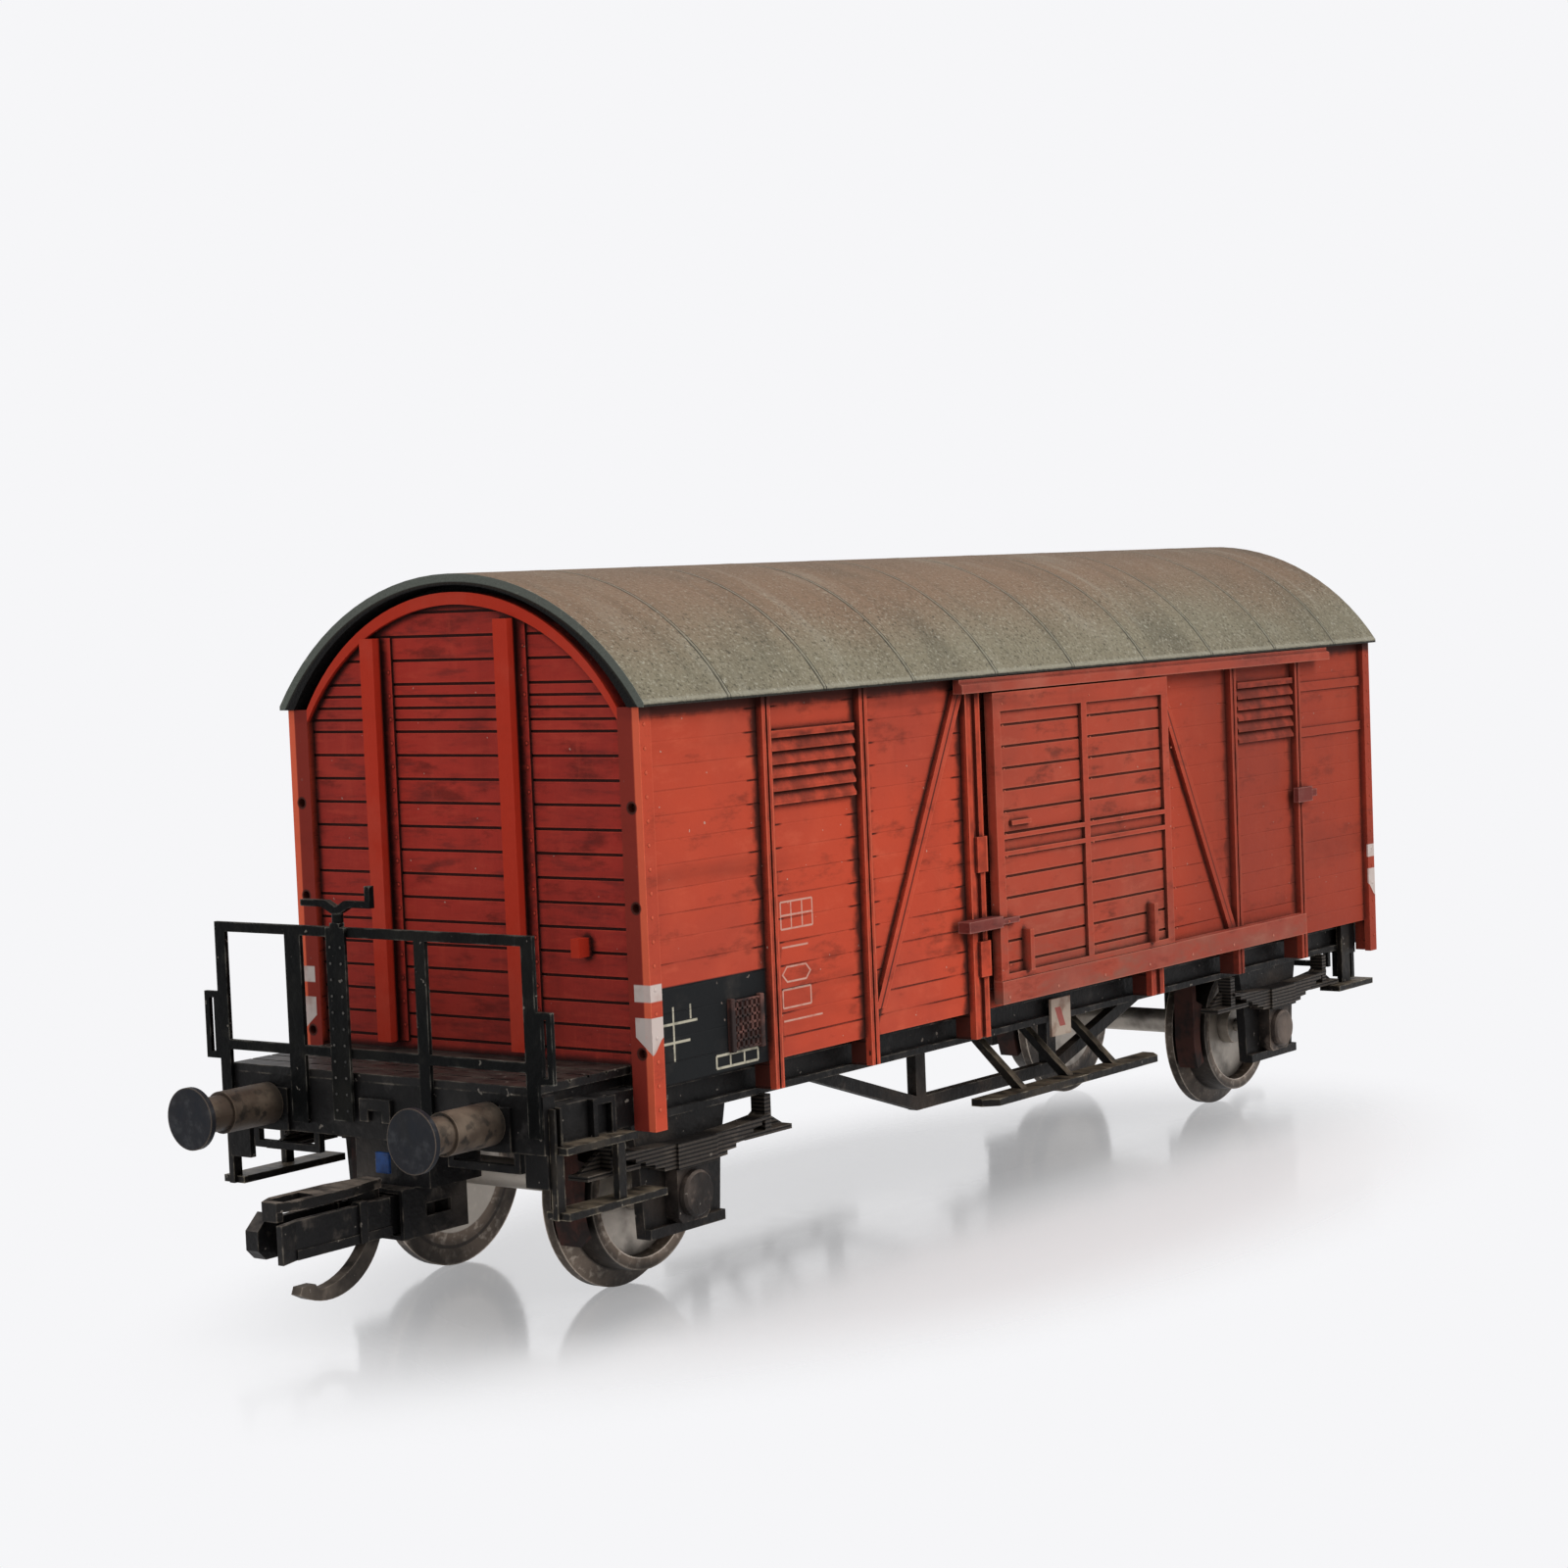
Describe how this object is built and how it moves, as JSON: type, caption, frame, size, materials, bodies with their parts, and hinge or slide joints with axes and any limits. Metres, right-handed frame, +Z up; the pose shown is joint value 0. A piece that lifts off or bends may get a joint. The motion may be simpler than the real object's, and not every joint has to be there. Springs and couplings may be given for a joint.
{
  "type": "railroad boxcar scale model",
  "caption": "Model railway covered goods wagon with a curved roof, sliding doors, brake platform, disc wheels and lifting-loop couplers that swing.",
  "frame": {"origin": "on the rail plane below the middle of the length over couplers, at the wheel flange bottoms", "axes": "+X along the wagon away from the brake platform, +Y to its left, +Z up"},
  "size_m": [0.095, 0.0248, 0.0351],
  "materials": {
    "roof_paint": "dull grey-green paint, weathered brown",
    "red_boards": "dull orange red, weathered",
    "end_red_boards": "dull dark red, weathered",
    "black_moulding": "dull black, dusty",
    "railing_black": "dull black, dusty edges",
    "buffer_grey": "dull grey brown",
    "wheel_metal": "dark treated metal, bright treads",
    "brake_brown": "rust brown",
    "ballast_steel": "plain sheet steel",
    "plate_white": "blank pale plate"
  },
  "bodies": {
    "wagon": {"ballast_weight": "ballast_steel", "brake_column": "railing_black", "brake_crank": "railing_black", "chassis_frame": "black_moulding", "floor": "black_moulding", "front_brake_shoes": "brake_brown", "front_buffer_beam": "black_moulding", "front_coupler_pocket": "black_moulding", "front_left_axle_guard": "black_moulding", "front_left_axlebox": "black_moulding", "front_left_buffer": "buffer_grey", "front_left_leaf_spring": "black_moulding", "front_right_axle_guard": "black_moulding", "front_right_axlebox": "black_moulding", "front_right_buffer": "buffer_grey", "front_right_leaf_spring": "black_moulding", "left_door": "red_boards", "left_door_bottom_rail": "red_boards", "left_door_hasp": "red_boards", "left_door_stop": "red_boards", "left_door_top_rail": "red_boards", "left_footboard": "black_moulding", "left_label_plate": "plate_white", "left_platform_steps": "black_moulding", "left_side_wall": "red_boards", "left_truss_rod": "black_moulding", "platform_deck": "black_moulding", "platform_end_wall": "end_red_boards", "platform_railing": "railing_black", "rear_brake_shoes": "brake_brown", "rear_buffer_beam": "black_moulding", "rear_coupler_pocket": "black_moulding", "rear_end_wall": "end_red_boards", "rear_left_axle_guard": "black_moulding", "rear_left_axlebox": "black_moulding", "rear_left_buffer": "buffer_grey", "rear_left_leaf_spring": "black_moulding", "rear_left_step": "black_moulding", "rear_right_axle_guard": "black_moulding", "rear_right_axlebox": "black_moulding", "rear_right_buffer": "buffer_grey", "rear_right_leaf_spring": "black_moulding", "rear_right_step": "black_moulding", "right_door": "red_boards", "right_door_bottom_rail": "red_boards", "right_door_hasp": "red_boards", "right_door_stop": "red_boards", "right_door_top_rail": "red_boards", "right_footboard": "black_moulding", "right_label_plate": "plate_white", "right_platform_steps": "black_moulding", "right_side_wall": "red_boards", "right_truss_rod": "black_moulding", "roof": "roof_paint"},
    "front_wheels": {"front_wheelset": "wheel_metal"},
    "rear_wheels": {"rear_wheelset": "wheel_metal"},
    "front_coupler": {"front_coupler_head": "black_moulding"},
    "rear_coupler": {"rear_coupler_head": "black_moulding"},
    "front_loop": {"front_coupler_loop": "black_moulding"},
    "rear_loop": {"rear_coupler_loop": "black_moulding"}
  },
  "joints": [
    {"name": "front_axle_spin", "type": "hinge", "parent": "wagon", "child": "front_wheels", "pos_m": [-0.0292, 0, 0.005], "axis": [0, 1, 0], "continuous": true},
    {"name": "front_coupler_swing", "type": "hinge", "parent": "wagon", "child": "front_coupler", "pos_m": [-0.0379, 0, 0.005], "axis": [0, 0, 1], "range_deg": [-6, 6]},
    {"name": "front_loop_lift", "type": "hinge", "parent": "front_coupler", "child": "front_loop", "pos_m": [-0.04105, 0, 0.0052], "axis": [0, 1, 0], "range_deg": [0, 15]},
    {"name": "rear_axle_spin", "type": "hinge", "parent": "wagon", "child": "rear_wheels", "pos_m": [0.0292, 0, 0.005], "axis": [0, 1, 0], "continuous": true},
    {"name": "rear_coupler_swing", "type": "hinge", "parent": "wagon", "child": "rear_coupler", "pos_m": [0.0379, 0, 0.005], "axis": [0, 0, 1], "range_deg": [-6, 6]},
    {"name": "rear_loop_lift", "type": "hinge", "parent": "rear_coupler", "child": "rear_loop", "pos_m": [0.04105, 0, 0.0052], "axis": [0, -1, 0], "range_deg": [0, 15]}
  ]
}
